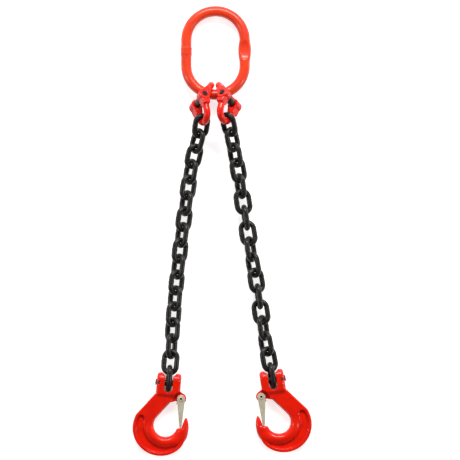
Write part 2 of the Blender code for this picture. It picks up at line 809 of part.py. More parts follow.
def build_hook(side, held):
    carrier, eye, normal, width = held
    down = lie(outward[side] * hook_lie[side]["lean"], hook_lie[side]["fall"])
    # The load pin lies across the last link
    inward = -outward[side]
    pin_axis = in_plane(across * inward, down)
    reach = in_plane(down, normal)
    contact = eye + reach * chain_radius
    pin = contact - down * ((chain_bar + load_pin_diameter) / 2 + running_gap)
    turn = joint(side + "_hook_joint", pin, pin_axis, carrier)
    stand = frame(pin, pin_axis * inward, -down)
    hand = "_mirrored" if side == "right" else ""
    piece(side + "_hook", shapes["hook" + hand], red, stand, turn)
    piece(side + "_hook_load_pin", shapes["hook_load_pin" + hand], black, stand, turn)
    piece(side + "_hook_spring_pin", shapes["hook_spring_pin" + hand], black, stand, turn)
    pivot = stand @ Vector((inward * latch_pivot_offset, -latch_pivot_drop, 0))
    level = stand.to_3x3() @ up
    lean = Matrix.Rotation(latch_lean * inward, 4, "Z")
    at_pivot = Matrix.Translation(pivot) @ stand.to_3x3().to_4x4()
    piece(side + "_latch_rivet", shapes["latch_rivet"], zinc, at_pivot, turn)
    piece(side + "_latch_spring", shapes["latch_spring" + hand], steel, at_pivot, turn)
    swing = joint(side + "_latch_joint", pivot, level * -inward, turn)
    piece(side + "_latch", shapes["latch" + hand], zinc, at_pivot @ lean, swing)


places = {}
orange = material("master_link_paint", (0.80, 0.055, 0.012), 0.28, 0)
red = material("fitting_paint", (0.72, 0.018, 0.006), 0.25, 0)
steel = material("chain_steel", (0.022, 0.020, 0.018), 0.42, 0.85)
black = material("pin_steel", (0.012, 0.012, 0.013), 0.45, 0.8)
zinc = material("latch_zinc", (0.62, 0.58, 0.48), 0.35, 0.9)

shapes = {
    "coupler_half": coupler_half(),
    "coupler_pin": coupler_pin(),
    "coupler_bush": coupler_bush(),
    "first_link": chain_link(chain_drop - (coupler_arm - chain_bar) / 2),
    "chain_link": chain_link(chain_drop),
    "hook": hook_body(),
    "hook_load_pin": hook_load_pin(),
    "hook_spring_pin": hook_spring_pin(),
    "latch": latch(),
    "latch_rivet": latch_rivet(),
    "latch_spring": latch_spring(),
}
for handed in ("hook", "hook_load_pin", "hook_spring_pin", "latch", "latch_spring"):
    shapes[handed + "_mirrored"] = mirrored(shapes[handed])

tilt = Matrix.Rotation(-master_tilt, 4, "X")
top = piece("master_link", master_link(), orange, tilt, None)
for side in left_right:
    build_hook(side, build_leg(side, build_coupler(side, top)))
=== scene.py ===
# Two-leg chain sling, laid out on a white table and seen from straight above
import json
import math
import bmesh
import bpy
import numpy as np
from mathutils import Matrix, Vector


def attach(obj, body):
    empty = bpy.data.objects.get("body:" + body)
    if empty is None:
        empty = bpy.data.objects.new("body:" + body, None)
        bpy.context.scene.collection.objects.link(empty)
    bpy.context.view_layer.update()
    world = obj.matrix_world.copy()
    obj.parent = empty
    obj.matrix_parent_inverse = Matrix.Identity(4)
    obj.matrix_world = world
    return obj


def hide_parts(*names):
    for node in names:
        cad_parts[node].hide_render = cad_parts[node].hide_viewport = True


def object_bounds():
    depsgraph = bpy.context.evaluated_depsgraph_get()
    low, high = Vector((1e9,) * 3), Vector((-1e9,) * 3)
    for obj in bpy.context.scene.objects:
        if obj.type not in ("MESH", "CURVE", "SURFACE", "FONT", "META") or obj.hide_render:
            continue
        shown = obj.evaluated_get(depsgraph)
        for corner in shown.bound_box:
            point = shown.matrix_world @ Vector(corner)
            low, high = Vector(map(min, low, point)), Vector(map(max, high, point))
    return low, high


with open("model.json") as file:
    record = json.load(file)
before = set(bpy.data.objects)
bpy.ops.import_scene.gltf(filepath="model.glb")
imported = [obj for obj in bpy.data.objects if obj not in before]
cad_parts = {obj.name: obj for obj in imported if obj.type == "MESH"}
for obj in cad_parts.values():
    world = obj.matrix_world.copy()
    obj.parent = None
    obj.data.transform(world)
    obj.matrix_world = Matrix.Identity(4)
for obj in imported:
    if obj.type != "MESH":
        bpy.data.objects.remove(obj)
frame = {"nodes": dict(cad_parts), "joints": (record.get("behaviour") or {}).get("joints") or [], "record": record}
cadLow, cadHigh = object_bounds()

mm = 0.001
samePlace = 0.002 * mm  # points closer than this are one place
overrun = 1 * mm  # how far a cutting shape reaches past a piece
longOverrun = 4 * mm
alongX, alongY, alongZ = Vector((1, 0, 0)), Vector((0, 1, 0)), Vector((0, 0, 1))
sides = ("left", "right")
joints = {joint["name"]: joint for joint in frame["joints"]}
scene = bpy.context.scene
print("frame loaded:", len(frame["nodes"]), "nodes")


# Reading places from the CAD nodes

def jointPlace(name):
    joint = joints[name]
    return Vector(joint["pos_m"]), Vector(joint["axis"]).normalized()


def nodePoints(node):
    mesh = frame["nodes"][node].data
    points = np.array([v.co for v in mesh.vertices], float)
    return np.unique(np.round(points, 6), axis=0)


def nodeCentre(node):
    # Centre of volume, from the signed tetrahedra under each triangle
    mesh = frame["nodes"][node].data
    mesh.calc_loop_triangles()
    points = np.array([v.co for v in mesh.vertices], float)
    corners = points[np.array([t.vertices for t in mesh.loop_triangles])]
    volumes = np.einsum("ij,ij->i", corners[:, 0], np.cross(corners[:, 1], corners[:, 2]))
    return Vector((corners.sum(1) / 4 * volumes[:, None]).sum(0) / volumes.sum())


def standing(point, xAxis, yAxis):
    # Matrix of a piece from its origin and two of its own directions
    xAxis = xAxis.normalized()
    zAxis = xAxis.cross(yAxis).normalized()
    turned = Matrix((xAxis, zAxis.cross(xAxis), zAxis)).transposed().to_4x4()
    return Matrix.Translation(point) @ turned


# Shaping

def edgesOf(verts):
    # Each edge once, always in the same order
    return list(dict.fromkeys(edge for vert in verts for edge in vert.link_edges))


def ringAcross(shape, radius, count, place):
    # A circle of edges across the Y direction
    spot = Matrix.Translation(place) @ Matrix((alongZ, alongX, alongY)).transposed().to_4x4()
    return edgesOf(bmesh.ops.create_circle(shape, segments=count, radius=radius, matrix=spot)["verts"])


def swept(shape, ring, middle, angle, steps):
    made = bmesh.ops.spin(shape, geom=ring, cent=middle, axis=alongZ, angle=angle, steps=steps,
                          use_duplicate=False)
    return [item for item in made["geom_last"] if isinstance(item, bmesh.types.BMEdge)]


def nextRing(shape, ring):
    # A tube's open end drawn out by one more ring of edges
    made = bmesh.ops.extrude_edge_only(shape, edges=ring)["geom"]
    verts = [item for item in made if isinstance(item, bmesh.types.BMVert)]
    edges = [item for item in made if isinstance(item, bmesh.types.BMEdge)]
    own = set(verts)
    return verts, [edge for edge in edges if own.issuperset(edge.verts)]


def pulled(shape, ring, move, wide=1.0, deep=1.0):
    # The next ring, moved on and scaled in X and Z about its own middle
    verts, edges = nextRing(shape, ring)
    middle = sum((vert.co for vert in verts), Vector()) / len(verts)
    grown = Matrix.Translation(middle) @ Matrix.Diagonal((wide, 1, deep, 1)) @ Matrix.Translation(-middle)
    bmesh.ops.transform(shape, matrix=Matrix.Translation(move) @ grown, verts=verts)
    return edges


def oblongRing(shape, bar, radius, straight, count, steps, leftSide, rightSide):
    # Each side is a list of (share of its length, width factor, depth factor)
    half = Vector((0, straight / 2, 0))
    ring = ringAcross(shape, bar / 2, count, half + alongX * radius)
    ring = swept(shape, ring, half, math.pi, steps)
    for side, sign in ((leftSide, -1), (rightSide, 1)):
        reached, size = 0.0, (1.0, 1.0)
        for share, wide, deep in [*side, (1.0, 1.0, 1.0)]:
            move = alongY * sign * straight * (share - reached)
            ring = pulled(shape, ring, move, wide / size[0], deep / size[1])
            reached, size = share, (wide, deep)
        if sign < 0:
            ring = swept(shape, ring, -half, math.pi, steps)
    bmesh.ops.remove_doubles(shape, verts=shape.verts, dist=samePlace)


def slab(outline, low, high, order="XYZ"):
    # An outline in two directions, extruded along the third
    shape = bmesh.new()
    first, second, third = ("XYZ".index(letter) for letter in order)

    def spot(a, b, c):
        place = Vector()
        place[first], place[second], place[third] = a, b, c
        return place

    face = shape.faces.new([shape.verts.new(spot(a, b, low)) for a, b in outline])
    made = bmesh.ops.extrude_face_region(shape, geom=[face])["geom"]
    verts = [item for item in made if isinstance(item, bmesh.types.BMVert)]
    bmesh.ops.translate(shape, verts=verts, vec=spot(0, 0, high - low))
    bmesh.ops.recalc_face_normals(shape, faces=shape.faces)
    return shape


def arcPoints(middle, radius, start, end, steps):
    turns = [math.radians(start + (end - start) * i / steps) for i in range(steps + 1)]
    return [(middle[0] + radius * math.cos(t), middle[1] + radius * math.sin(t)) for t in turns]


def roundSlab(radius, count, low, high, order, middle=(0, 0)):
    return slab(arcPoints(middle, radius, 0, 360 - 360 / count, count - 1), low, high, order)


def edgesAt(shape, direction, place):
    return [e for e in shape.edges if all(abs(v.co[direction] - place) < samePlace for v in e.verts)]


def eased(shape, edges, width, segments=2):
    bmesh.ops.bevel(shape, geom=edges, offset=width, segments=segments, affect="EDGES",
                    profile=0.5, material=-1)


def asObject(shape, name):
    bmesh.ops.recalc_face_normals(shape, faces=shape.faces)
    mesh = bpy.data.meshes.new(name)
    shape.to_mesh(mesh)
    shape.free()
    thing = bpy.data.objects.new(name, mesh)
    scene.collection.objects.link(thing)
    return thing


def finished(thing):
    # The evaluated mesh, with the working object put away
    mesh = bpy.data.meshes.new_from_object(thing.evaluated_get(bpy.context.evaluated_depsgraph_get()))
    bpy.data.objects.remove(thing, do_unlink=True)
    return mesh


def forged(base, cuts, name, grain=None, passes=0):
    # Booleans first, then an even skin whose corners are worn round like a forging's
    body = asObject(base, name)
    tools = []
    for kind, shape in cuts:
        tool = asObject(shape, name + "Tool")
        change = body.modifiers.new(kind, "BOOLEAN")
        change.operation, change.solver, change.object = kind, "EXACT", tool
        tools.append(tool)
    if grain:
        skin = body.modifiers.new("skin", "REMESH")
        skin.mode, skin.voxel_size, skin.use_smooth_shade = "VOXEL", grain, True
        soften = body.modifiers.new("soften", "SMOOTH")
        soften.factor, soften.iterations = 0.5, passes
    mesh = finished(body)
    for tool in tools:
        bpy.data.objects.remove(tool, do_unlink=True)
    mesh.shade_smooth()
    if not grain:
        mesh.set_sharp_from_angle(angle=math.radians(35))
    return mesh


def turnedOver(mesh):
    # The other hand of a mesh, mirrored across X with its faces put right
    shape = bmesh.new()
    shape.from_mesh(mesh)
    bmesh.ops.scale(shape, verts=shape.verts, vec=Vector((-1, 1, 1)))
    bmesh.ops.reverse_faces(shape, faces=shape.faces)
    other = bpy.data.meshes.new(mesh.name + "Mirrored")
    shape.to_mesh(other)
    shape.free()
    return other


def setIn(name, mesh, place, body, node, slotName, *finishes):
    # A finished piece: its place goes into its mesh, and it stands for its CAD node
    placed = mesh.copy()
    placed.name = name
    placed.transform(place)
    indices = [polygon.material_index for polygon in placed.polygons]
    placed.materials.clear()
    for finish in finishes:
        placed.materials.append(finish)
    placed.polygons.foreach_set("material_index", indices)
    thing = bpy.data.objects.new(name, placed)
    scene.collection.objects.link(thing)
    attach(thing, body)
    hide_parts(node)


# Finishes

def group(name, inputs, outputs):
    made = bpy.data.node_groups.new(name, "ShaderNodeTree")
    for label, kind, value in inputs:
        socket = made.interface.new_socket(name=label, in_out="INPUT", socket_type=kind)
        if value is not None:
            socket.default_value = value
    for label, kind in outputs:
        made.interface.new_socket(name=label, in_out="OUTPUT", socket_type=kind)
    return made, made.nodes.new("NodeGroupInput"), made.nodes.new("NodeGroupOutput")


def noise(tree, vector, scale, detail, rough=0.5):
    node = tree.nodes.new("ShaderNodeTexNoise")
    node.inputs["Detail"].default_value = detail
    node.inputs["Roughness"].default_value = rough
    tree.links.new(vector, node.inputs["Vector"])
    if hasattr(scale, "is_linked"):
        tree.links.new(scale, node.inputs["Scale"])
    else:
        node.inputs["Scale"].default_value = scale
    return node.outputs["Fac"]


def spread(tree, value, low, high, newLow=0.0, newHigh=1.0):
    node = tree.nodes.new("ShaderNodeMapRange")
    node.interpolation_type = "SMOOTHSTEP"
    tree.links.new(value, node.inputs["Value"])
    ends = {"From Min": low, "From Max": high, "To Min": newLow, "To Max": newHigh}
    for socket, number in ends.items():
        if hasattr(number, "is_linked"):
            tree.links.new(number, node.inputs[socket])
        else:
            node.inputs[socket].default_value = number
    return node.outputs["Result"]


def sums(tree, operation, first, second):
    node = tree.nodes.new("ShaderNodeMath")
    node.operation = operation
    for socket, value in zip(node.inputs, (first, second)):
        if hasattr(value, "is_linked"):
            tree.links.new(value, socket)
        else:
            socket.default_value = value
    return node.outputs[0]


def scaled(tree, value, factor):
    return sums(tree, "MULTIPLY", value, factor)


def blended(tree, amount, first, second):
    node = tree.nodes.new("ShaderNodeMix")
    node.data_type = "RGBA"
    tree.links.new(amount, node.inputs["Factor"])
    for label, value in (("A", first), ("B", second)):
        socket = [s for s in node.inputs if s.name == label and s.type == "RGBA"][0]
        if hasattr(value, "is_linked"):
            tree.links.new(value, socket)
        else:
            socket.default_value = value
    return [s for s in node.outputs if s.type == "RGBA"][0]


def edgeGroup():
    # White on worn corners, black in hollows (a mask for painted shade), broken up so that no edge wears evenly
    made, into, out = group("cornersAndHollows", [
        ("Vector", "NodeSocketVector", None),
        ("Corner Low", "NodeSocketFloat", 0.53),
        ("Corner High", "NodeSocketFloat", 0.62),
        ("Break Up Scale", "NodeSocketFloat", 400.0),
    ], [("Corners", "NodeSocketFloat"), ("Hollows", "NodeSocketFloat")])
    shape = made.nodes.new("ShaderNodeNewGeometry")
    point = shape.outputs["Pointiness"]
    worn = spread(made, point, into.outputs["Corner Low"], into.outputs["Corner High"])
    patches = noise(made, into.outputs["Vector"], into.outputs["Break Up Scale"], 4.0)
    made.links.new(scaled(made, worn, spread(made, patches, 0.42, 0.62)), out.inputs["Corners"])
    made.links.new(spread(made, point, 0.5, 0.42), out.inputs["Hollows"])
    return made


def skinGroup():
    # Fine orange peel over long soft waves, as a height
    made, into, out = group("castSkin", [
        ("Vector", "NodeSocketVector", None),
        ("Peel Scale", "NodeSocketFloat", 900.0),
        ("Wave Scale", "NodeSocketFloat", 90.0),
        ("Peel", "NodeSocketFloat", 0.3),
    ], [("Height", "NodeSocketFloat"), ("Patches", "NodeSocketFloat")])
    peel = noise(made, into.outputs["Vector"], into.outputs["Peel Scale"], 3.0)
    wave = noise(made, into.outputs["Vector"], into.outputs["Wave Scale"], 2.0)
    high = sums(made, "ADD", scaled(made, peel, into.outputs["Peel"]), wave)
    made.links.new(high, out.inputs["Height"])
    made.links.new(wave, out.inputs["Patches"])
    return made


cornersAndHollows = edgeGroup()
castSkin = skinGroup()


def placedGroup(tree, made, vector, **values):
    node = tree.nodes.new("ShaderNodeGroup")
    node.node_tree = made
    tree.links.new(vector, node.inputs["Vector"])
    for label, value in values.items():
        node.inputs[label.replace("_", " ")].default_value = value
    return node


def newFinish(name, metallic, coat=0.0, coatRoughness=0.1, specular=0.5):
    made = bpy.data.materials.new(name)
    made.use_nodes = True
    tree = made.node_tree
    shader = tree.nodes["Principled BSDF"]
    shader.inputs["Metallic"].default_value = metallic
    shader.inputs["Coat Weight"].default_value = coat
    shader.inputs["Coat Roughness"].default_value = coatRoughness
    shader.inputs["Specular IOR Level"].default_value = specular
    place = tree.nodes.new("ShaderNodeTexCoord").outputs["Object"]
    return made, tree, shader, place


def raised(tree, shader, height, strength, distance):
    bump = tree.nodes.new("ShaderNodeBump")
    bump.inputs["Strength"].default_value = strength
    bump.inputs["Distance"].default_value = distance
    tree.links.new(height, bump.inputs["Height"])
    tree.links.new(bump.outputs["Normal"], shader.inputs["Normal"])


def surfaceMasks(tree, place, look):
    # The cast skin and the worn corners, which every finish on the sling has
    skin = placedGroup(tree, castSkin, place, Peel_Scale=look["peelScale"], Wave_Scale=look["waveScale"],
                       Peel=look["peel"])
    edge = placedGroup(tree, cornersAndHollows, place, Corner_Low=look["cornerLow"],
                       Corner_High=look["cornerHigh"])
    return skin.outputs, edge.outputs


def paint(name, look):
    # Sprayed gloss paint over a forging
    made, tree, shader, place = newFinish(name, 0.0, look["coat"], look["coatRoughness"], look["specular"])
    skin, edge = surfaceMasks(tree, place, look)
    patchy = blended(tree, spread(tree, skin["Patches"], *look["patches"]), look["colour"], look["deep"])
    # Painted shade: the hollows are darkened towards a deep red
    dusky = blended(tree, scaled(tree, edge["Hollows"], look["hollow"]), patchy, look["hollowShade"])
    bare = blended(tree, scaled(tree, edge["Corners"], look["wear"]), dusky, look["worn"])
    tree.links.new(bare, shader.inputs["Base Color"])
    rough = spread(tree, skin["Patches"], *look["dullPatches"], look["smooth"], look["rough"])
    rough = sums(tree, "ADD", rough, scaled(tree, edge["Corners"], look["wornRough"]))
    tree.links.new(rough, shader.inputs["Roughness"])
    raised(tree, shader, skin["Height"], look["bump"], look["bumpDepth"])
    return made


def steel(name, look):
    # Heat-blackened or plated steel with rubbed corners
    made, tree, shader, place = newFinish(name, look["metallic"], look["coat"],
                                          coatRoughness=0.14, specular=0.3)
    skin, edge = surfaceMasks(tree, place, look)
    mottled = blended(tree, spread(tree, skin["Patches"], 0.38, 0.62), look["dark"], look["light"])
    fine = noise(tree, place, look["speckScale"], 5.0, 0.6)
    specks = scaled(tree, spread(tree, fine, 0.56, 0.72), look["speck"])
    speckled = blended(tree, specks, mottled, look["rubbed"])
    bare = blended(tree, scaled(tree, edge["Corners"], look["wear"]), speckled, look["rubbed"])
    tree.links.new(bare, shader.inputs["Base Color"])
    rough = spread(tree, fine, 0.3, 0.7, look["smooth"], look["rough"])
    tree.links.new(rough, shader.inputs["Roughness"])
    raised(tree, shader, skin["Height"], look["bump"], look["bumpDepth"])
    return made


# Each paint's darkest red is painted shade for its hollows
masterPaint = paint("masterLinkPaint", {
    "colour": (0.94, 0.062, 0.014, 1), "deep": (0.83, 0.038, 0.008, 1),
    "worn": (0.96, 0.24, 0.12, 1), "hollowShade": (0.22, 0.006, 0.002, 1),
    "coat": 0.3, "coatRoughness": 0.07, "specular": 0.35, "smooth": 0.26, "rough": 0.4, "wornRough": 0.15,
    "patches": (0.35, 0.7), "dullPatches": (0.3, 0.75), "hollow": 0.6, "wear": 0.3,
    "peelScale": 700.0, "waveScale": 55.0, "peel": 0.2, "cornerLow": 0.54, "cornerHigh": 0.66,
    "bump": 0.2, "bumpDepth": 0.5 * mm,
})
# Its darkest red is painted shade for the hollows too
fittingPaint = paint("fittingPaint", {
    "colour": (0.98, 0.014, 0.001, 1), "deep": (0.84, 0.009, 0.001, 1),
    "worn": (0.94, 0.15, 0.07, 1), "hollowShade": (0.13, 0.002, 0.001, 1),
    "coat": 0.28, "coatRoughness": 0.06, "specular": 0.3, "smooth": 0.24, "rough": 0.38, "wornRough": 0.15,
    "patches": (0.35, 0.7), "dullPatches": (0.3, 0.75), "hollow": 0.85, "wear": 0.35,
    "peelScale": 800.0, "waveScale": 75.0, "peel": 0.25, "cornerLow": 0.54, "cornerHigh": 0.66,
    "bump": 0.28, "bumpDepth": 0.5 * mm,
})
chainSteel = steel("chainSteel", {
    "dark": (0.006, 0.0055, 0.0045, 1), "light": (0.015, 0.0135, 0.010, 1), "rubbed": (0.10, 0.09, 0.07, 1),
    "metallic": 0.0, "coat": 0.22, "smooth": 0.36, "rough": 0.58,
    "wear": 0.3, "speckScale": 700.0, "speck": 0.25, "peelScale": 1200.0, "waveScale": 160.0,
    "peel": 0.5, "cornerLow": 0.53, "cornerHigh": 0.64, "bump": 0.4, "bumpDepth": 0.3 * mm,
})
pinSteel = steel("pinSteel", {
    "dark": (0.010, 0.009, 0.009, 1), "light": (0.022, 0.020, 0.019, 1), "rubbed": (0.18, 0.16, 0.14, 1),
    "metallic": 0.4, "coat": 0.2, "smooth": 0.32, "rough": 0.5,
    "wear": 0.6, "speckScale": 900.0, "speck": 0.3, "peelScale": 1500.0, "waveScale": 220.0,
    "peel": 0.4, "cornerLow": 0.53, "cornerHigh": 0.62, "bump": 0.4, "bumpDepth": 0.3 * mm,
})
latchZinc = steel("latchZinc", {
    "dark": (0.70, 0.63, 0.45, 1), "light": (0.80, 0.74, 0.57, 1), "rubbed": (0.86, 0.83, 0.74, 1),
    "metallic": 0.3, "coat": 0.1, "smooth": 0.3, "rough": 0.46,
    "wear": 0.5, "speckScale": 900.0, "speck": 0.2, "peelScale": 1400.0, "waveScale": 120.0,
    "peel": 0.3, "cornerLow": 0.52, "cornerHigh": 0.6, "bump": 0.25, "bumpDepth": 0.2 * mm,
})
print("finishes made")


# Master link

masterLink = {
    "bar": 16 * mm, "innerWidth": 73 * mm, "innerLength": 112.6 * mm, "seatDepth": 36.57 * mm,
    "weldDrop": 18.5 * mm, "weldLength": 11 * mm, "weldProud": 0.6 * mm,
    "padLength": 35 * mm, "padWidth": 19.8 * mm, "padThickness": 15.6 * mm,
    "padRise": 3.4 * mm, "padFullness": 1.2, "facetFlat": 6.0 * mm, "facetLength": 30 * mm,
    "facetHollow": 0.7 * mm, "facetReach": 1.3, "facetRound": 2.5,
    "count": 56, "bendSteps": 56, "padSteps": 64,
}


def weldProfile(size, straight):
    # A thin ridge at the joint, then a slightly thicker band below it
    grow = 1 + 2 * size["weldProud"] / size["bar"]
    ridge = ((-0.72, 1.0), (-0.64, 1.0), (-0.59, 1.004), (-0.55, grow * 1.01), (-0.5, grow * 1.024))
    band = ((-0.45, grow * 1.012), (-0.4, grow), (-0.3, grow * 0.996), (0.0, grow * 0.996), (0.3, grow),
            (0.42, grow * 1.006), (0.5, 1 + (grow - 1) * 0.6), (0.56, 1.004), (0.62, 1.0), (0.72, 1.0))
    return [((size["weldDrop"] + along * size["weldLength"]) / straight, factor, factor)
            for along, factor in ridge + band]


def padProfile(size, straight):
    # A long oval swelling, wider than the bar
    steps = size["padSteps"]
    wide, deep = size["padWidth"] / size["bar"] - 1, size["padThickness"] / size["bar"] - 1
    profile = []
    for i in range(1, steps):
        along = (i / steps - 0.5) * straight - size["padRise"]
        bulge = math.cos(min(1.0, abs(along) * 2 / size["padLength"]) * math.pi / 2) ** size["padFullness"]
        profile.append((i / steps, 1 + wide * bulge, 1 + deep * bulge))
    return profile


def pressFacets(shape, size):
    # The stamp's oval flat on each side of the pad, a little hollow and left plain
    for vert in shape.verts:
        along = abs(vert.co.y - size["padRise"]) * 2 / size["facetLength"]
        if vert.co.x > 0 and along < size["facetReach"]:
            limit = size["facetFlat"] + (size["bar"] / 2 - size["facetFlat"]) * along ** size["facetRound"]
            if abs(vert.co.z) > limit:
                hollow = size["facetHollow"] * max(0.0, 1 - along ** 4)
                vert.co.z = math.copysign(limit - hollow, vert.co.z)


def makeMasterLink(size):
    shape = bmesh.new()
    radius = (size["innerWidth"] + size["bar"]) / 2
    straight = size["innerLength"] - size["innerWidth"]
    oblongRing(shape, size["bar"], radius, straight, size["count"], size["bendSteps"],
               weldProfile(size, straight), padProfile(size, straight))
    pressFacets(shape, size)
    bmesh.ops.translate(shape, verts=shape.verts, vec=-alongY * (straight / 2 + size["seatDepth"]))
    mesh = finished(asObject(shape, "masterLink"))
    mesh.shade_smooth()
    return mesh


seat = [m for m in frame["record"]["mounts"] if m["name"] == "crane_hook_seat"][0]
masterPlace = standing(Vector(), alongX, -Vector(seat["axis"]))
setIn("masterLinkRing", makeMasterLink(masterLink), masterPlace, "master_link", "master_link",
      "master_link_paint", masterPaint)
print("master link made")


# Chain

chainLink = {
    "bar": 8 * mm, "innerWidth": 11.8 * mm, "innerLength": 24.83 * mm, "waist": 3 * mm,
    "weldLength": 5.2 * mm, "weldProud": 0.34 * mm, "count": 20, "bendSteps": 16,
    # Half of the weld's collar: how far along it, and how much of its bulge
    "weldHalf": ((0.0, 1.0), (0.15, 0.75), (0.36, 0.9), (0.5, 0.35), (0.6, 0.0), (0.72, 0.0)),
}


def makeChainLink(size):
    # Centred on its own middle, with the weld on its -X side
    shape = bmesh.new()
    radius = (size["innerWidth"] + size["bar"]) / 2
    straight = size["innerLength"] - size["innerWidth"]
    grow = size["weldProud"] / (size["bar"] / 2)
    collar = [(-along, bulge) for along, bulge in size["weldHalf"][:0:-1]] + list(size["weldHalf"])
    weld = [(0.5 + along * size["weldLength"] / straight, 1 + grow * bulge, 1 + grow * bulge)
            for along, bulge in collar]
    plain = [(0.25, 1, 1), (0.5, 1, 1), (0.75, 1, 1)]
    oblongRing(shape, size["bar"], radius, straight, size["count"], size["bendSteps"], weld, plain)
    mesh = finished(asObject(shape, "chainLink"))
    mesh.shade_smooth()
    return mesh


def linkPlace(node, jointName):
    # The long and flat directions of the CAD link, and the side that its weld is on
    points = nodePoints(node)
    middle = points.mean(0)
    _, directions = np.linalg.eigh(np.cov((points - middle).T))
    held, _ = jointPlace(jointName)
    down = Vector(directions[:, 2])
    if down.dot(Vector(middle) - held) < 0:
        down.negate()
    flat = Vector(directions[:, 0])
    centre = held + down * (Vector(middle) - held).dot(down)
    wide = (-down).cross(flat)
    reaches = [Vector(point) - centre for point in points]
    if sum(wide.dot(reach) for reach in reaches if abs(down.dot(reach)) < chainLink["waist"]) > 0:
        wide.negate()
    return standing(centre, wide, -down)


linkMesh = makeChainLink(chainLink)
linksPerLeg = 17
for side in sides:
    for number in range(1, linksPerLeg + 1):
        node = f"{side}_chain_link_{number:02d}"
        place = linkPlace(node, f"{side}_link_{number:02d}_joint")
        setIn(f"{side}Link{number:02d}", linkMesh, place, node, node, "chain_steel", chainSteel)
print("chain made")


# Coupling links

coupler = {
    "arm": 10.4 * mm, "reach": 35.3 * mm, "crown": 14.3 * mm, "width": 46 * mm,
    "earRadius": 9 * mm, "earThickness": 4 * mm, "tongue": 5 * mm, "neckReach": 15.5 * mm,
    "neckShare": 0.98, "earArc": (52, 308, 40), "earEdge": 1.3 * mm, "gap": 0.3 * mm,
    "pin": 8 * mm, "pinProud": 0.5 * mm, "pinEdge": 0.5 * mm, "bush": 11.4 * mm, "bushEdge": 0.9 * mm,
    # Width and depth of the arm, step by step towards the ears
    "flare": ((1.02, 1.0), (1.12, 1.04), (1.3, 1.12), (1.5, 1.25)), "flareRun": 0.78,
    "count": 28, "crownSteps": 22, "grain": 0.45 * mm, "passes": 7,
}


def innerWidth(size):
    # Room between the inner faces of the two ears
    return size["width"] - 2 * (2 * size["earThickness"] + size["tongue"] + 2 * size["gap"])


def makeCouplerHalf(size):
    shape = bmesh.new()
    gap, inner = size["gap"], innerWidth(size)
    middle = (size["width"] + inner) / 4
    crown = Vector((0, size["reach"] - size["crown"], 0))
    ring = ringAcross(shape, size["arm"] / 2, size["count"], crown - alongX * size["crown"])
    ends = [(-1, ring), (1, swept(shape, ring, crown, -math.pi, size["crownSteps"]))]
    thick = (size["width"] - inner) / 2 / size["arm"]
    tall = 2 * size["earRadius"] / size["arm"]
    flare = (*size["flare"], (thick * 0.96, tall * 0.85))
    for side, end in ends:
        run = Vector((side * (middle - size["crown"]), -crown.y * size["flareRun"], 0))
        past = (1.0, 1.0)
        for wide, deep in flare:
            end = pulled(shape, end, run / len(flare), wide / past[0], deep / past[1])
            past = (wide, deep)
        bmesh.ops.contextual_create(shape, geom=end)
    neck = (size["neckReach"], size["arm"] / 2 * size["neckShare"])
    outline = [neck, *arcPoints((0, 0), size["earRadius"], *size["earArc"]), (neck[0], -neck[1])]
    steps = []
    for side in (-1, 1):
        near, far = sorted((side * inner / 2, side * size["width"] / 2))
        ear = slab(outline, near, far, "YZX")
        eased(ear, edgesAt(ear, 0, side * size["width"] / 2), size["earEdge"], 3)
        steps.append(("UNION", ear))
    slot = inner / 2 + size["earThickness"]
    swing = size["earRadius"] + 2 * gap
    wide = size["tongue"] + 2 * gap
    cut = [(swing, -slot - wide, -slot), (swing, inner / 2 - longOverrun, slot + gap),
           (swing, slot + gap + size["tongue"], size["width"] / 2 + longOverrun),
           (size["pin"] / 2 + gap, -size["width"], size["width"])]
    for radius, low, high in cut:
        steps.append(("DIFFERENCE", roundSlab(radius, 48, low, high, "YZX")))
    return forged(shape, steps, "couplerHalf", size["grain"], size["passes"])


def makeCouplerPin(size):
    half = size["width"] / 2 + size["pinProud"]
    shape = roundSlab(size["pin"] / 2, 40, -half, half, "YZX")
    eased(shape, edgesAt(shape, 0, -half) + edgesAt(shape, 0, half), size["pinEdge"], 3)
    return forged(shape, [], "couplerPin")


def makeCouplerBush(size):
    half = innerWidth(size) / 2 - size["gap"]
    shape = roundSlab(size["bush"] / 2, 48, -half, half, "YZX")
    eased(shape, edgesAt(shape, 0, -half) + edgesAt(shape, 0, half), size["bushEdge"], 3)
    hole = roundSlab(size["pin"] / 2 + size["gap"], 40, -half - overrun, half + overrun, "YZX")
    return forged(shape, [("DIFFERENCE", hole)], "couplerBush")


def halfPlace(node, pin, axis):
    towards = nodeCentre(node) - pin
    return standing(pin, axis, towards - axis * towards.dot(axis))


halfMesh, pinMesh, bushMesh = makeCouplerHalf(coupler), makeCouplerPin(coupler), makeCouplerBush(coupler)
for side in sides:
    pin, axis = jointPlace(side + "_coupler_fold_joint")
    upper, lower = side + "_coupler_upper_half", side + "_coupler_lower_half"
    upperPlace, lowerPlace = halfPlace(upper, pin, axis), halfPlace(lower, pin, -axis)
    setIn(side + "CouplerUpper", halfMesh, upperPlace, upper, upper, "fitting_paint", fittingPaint)
    setIn(side + "CouplerLower", halfMesh, lowerPlace, lower, lower, "fitting_paint", fittingPaint)
    setIn(side + "CouplerPin", pinMesh, upperPlace, upper, side + "_coupler_pin", "pin_steel", pinSteel)
    setIn(side + "CouplerBush", bushMesh, upperPlace, upper, side + "_coupler_bush", "pin_steel", pinSteel)
print("coupling links made")


# Hooks

